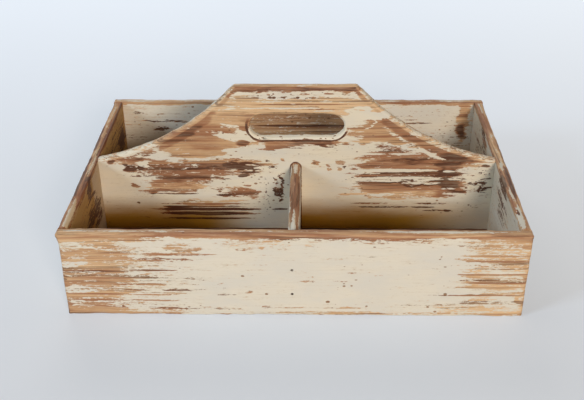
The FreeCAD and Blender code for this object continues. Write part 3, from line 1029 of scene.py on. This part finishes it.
def wood_finishes():
    """The finish of each wooden node."""
    return {
        "front_wall": worn_board(
            "front_wall", "XZY", 1, wear=-0.1,
            blots=(on_face(-OUTSIDE_Y, FRONT_BLOTS) + on_face(-INSIDE_Y, FRONT_INSIDE)
                   + LONG_ENDS + FRONT_RIM),
            scratches=on_face(-OUTSIDE_Y, FRONT_SCRATCHES), specks=on_face(-OUTSIDE_Y, FRONT_SPECKS),
        ),
        "back_wall": worn_board(
            "back_wall", "XZY", 2, painted_shade_depth=0.8,
            blots=(on_face(INSIDE_Y, BACK_BLOTS) + on_face(OUTSIDE_Y, BACK_OUTSIDE)
                   + LONG_ENDS + BACK_RIM),
            scratches=on_face(INSIDE_Y, BACK_SCRATCHES), specks=on_face(INSIDE_Y, BACK_SPECKS),
        ),
        "left_wall": worn_board(
            "left_wall", "YZX", 3, painted_shade_depth=0.9, painted_shade_top=108.0,
            blots=(on_side(-INSIDE_X, LEFT_INSIDE) + on_side(-OUTSIDE_X, SIDE_OUTSIDE)
                   + SIDE_RIM + LEFT_RIM),
            specks=on_side(-INSIDE_X, SIDE_SPECKS),
        ),
        # The right wall's darker cream is painted shade for its inner face in shadow; its outer face takes
        # it too
        "right_wall": worn_board(
            "right_wall", "YZX", 4, cream=CREAM_SHADED, painted_shade_depth=0.6,
            blots=(on_side(INSIDE_X, RIGHT_INSIDE) + on_side(OUTSIDE_X, SIDE_OUTSIDE)
                   + SIDE_RIM + RIGHT_RIM),
            specks=on_side(INSIDE_X, SIDE_SPECKS),
        ),
        "bottom_panel": worn_board("bottom_panel", "XYZ", 5, wear=1.6, tone=1.3),
        "handle_board": worn_board(
            "handle_board", "XZY", 6, wear=-0.1, cream=CREAM_WARM, painted_shade_depth=1.0, painted_shade_top=48.0,
            blots=on_face(-HANDLE_Y, HANDLE_BLOTS) + on_face(HANDLE_Y, HANDLE_BACK),
            scratches=on_face(-HANDLE_Y, HANDLE_SCRATCHES), specks=on_face(-HANDLE_Y, HANDLE_SPECKS),
        ),
        "front_divider": worn_board(
            "front_divider", "YZX", 7, tone=0.5, painted_shade_depth=0.8, blots=on_side(0, DIVIDER_BLOTS, 8.0),
        ),
    }


def finish_nodes():
    """Gives every node its finish, and stands a sanded piece in for each board whose arrises show."""
    finishes = wood_finishes()
    brads = steel()
    for name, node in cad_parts.items():
        piece = node
        if name in SANDED:
            seed = list(SANDED).index(name) * 7.0
            piece = sanded_board(name, SANDED[name], seed)
        for slot in piece.material_slots:
            slot.material = finishes.get(name, brads)


def seen_plainly(net):
    """1 for rays that show the backdrop to the camera, itself or in a reflection, and 0 for the others."""
    path = net.node("ShaderNodeLightPath").outputs
    seen = net.math("MAXIMUM", path["Is Camera Ray"], path["Is Glossy Ray"])
    return net.math("MAXIMUM", seen, path["Is Transmission Ray"])


def floor():
    """A pale table top that runs on behind the caddy, lighter and cooler towards the back and far off."""
    bpy.ops.mesh.primitive_plane_add(size=FLOOR_SIZE, location=(0, 0, 0))
    plane = bpy.context.object
    plane.name = "floor"
    material, net, shader = new_material("pale_floor")
    x, y, _ = net.split(net.node("ShaderNodeTexCoord").outputs["Object"])
    distance = net.vector("LENGTH", net.join(x, y, 0.0))
    far_off = net.step(distance, *FLOOR_FAR_OFF)
    far = net.math("MAXIMUM", net.step(y, *FLOOR_BACK_Y), far_off)
    glow = net.mix(far, GLOW_NEAR, GLOW_FAR)
    glow = net.mix(net.step(x, *FLOOR_RIGHT_X), glow, GLOW_RIGHT, "ADD")
    net.put(shader.inputs["Base Color"], net.mix(far_off, linear(FLOOR_GREY), linear(FLOOR_FAR)))
    shader.inputs["Roughness"].default_value = 0.8
    shader.inputs["Specular IOR Level"].default_value = 0.12
    net.put(shader.inputs["Emission Color"], glow)
    net.put(shader.inputs["Emission Strength"], seen_plainly(net))
    plane.data.materials.append(material)


def area_light(name, azimuth, elevation, distance, size, power, color):
    """A soft lamp aimed at the caddy. Azimuth is in degrees from straight in front, growing to the right."""
    turn, rise = math.radians(azimuth), math.radians(elevation)
    toward = Vector((math.sin(turn) * math.cos(rise), -math.cos(turn) * math.cos(rise), math.sin(rise)))
    light = bpy.data.lights.new(name, "AREA")
    light.shape = "RECTANGLE"
    light.size, light.size_y = size
    light.energy = power
    light.color = color
    lamp = bpy.data.objects.new(name, light)
    lamp.location = Vector(LIGHT_TARGET) + toward * distance
    lamp.rotation_euler = (-toward).to_track_quat("-Z", "Y").to_euler()
    bpy.context.scene.collection.objects.link(lamp)


def lights():
    """A warm lamp in front, a bluish window on the left, a weaker lamp behind, and the room's pale light."""
    area_light("key", azimuth=18, elevation=23.5, distance=3.4, size=(0.9, 0.8), power=70.0,
               color=(1.0, 0.885, 0.785))
    area_light("window", azimuth=-58, elevation=27, distance=2.4, size=(0.6, 0.6), power=25.0,
               color=(0.66, 0.82, 1.0))
    area_light("rear", azimuth=195, elevation=38, distance=2.8, size=(1.6, 1.0), power=21.0,
               color=(1.0, 0.93, 0.84))
    world = bpy.data.worlds.new("room")
    bpy.context.scene.world = world
    world.use_nodes = True
    background = world.node_tree.nodes["Background"]
    background.inputs["Color"].default_value = ROOM_COLOR
    net = Net(world.node_tree)
    strength = net.step(seen_plainly(net), 0.0, 1.0, start=ROOM_LIGHT, end=ROOM_SEEN)
    net.put(background.inputs["Strength"], strength)


def camera():
    """The viewpoint, from its yaw to the right, its pitch down and its roll."""
    yaw, pitch, roll = (math.radians(a) for a in (CAMERA_YAW_DEG, CAMERA_PITCH_DEG, CAMERA_ROLL_DEG))
    data = bpy.data.cameras.new("camera")
    data.lens = CAMERA_LENS_MM
    data.sensor_width = CAMERA_SENSOR_MM
    view = bpy.data.objects.new("camera", data)
    view.location = CAMERA_PLACE
    ahead = Vector((math.sin(yaw) * math.cos(pitch), math.cos(yaw) * math.cos(pitch), -math.sin(pitch)))
    view.rotation_mode = "QUATERNION"
    level = ahead.to_track_quat("-Z", "Y")
    view.rotation_quaternion = level @ Quaternion((0, 0, 1), roll)
    bpy.context.scene.collection.objects.link(view)
    bpy.context.scene.camera = view


finish_nodes()
floor()
lights()
camera()
bpy.context.scene.view_settings.view_transform = "Standard"
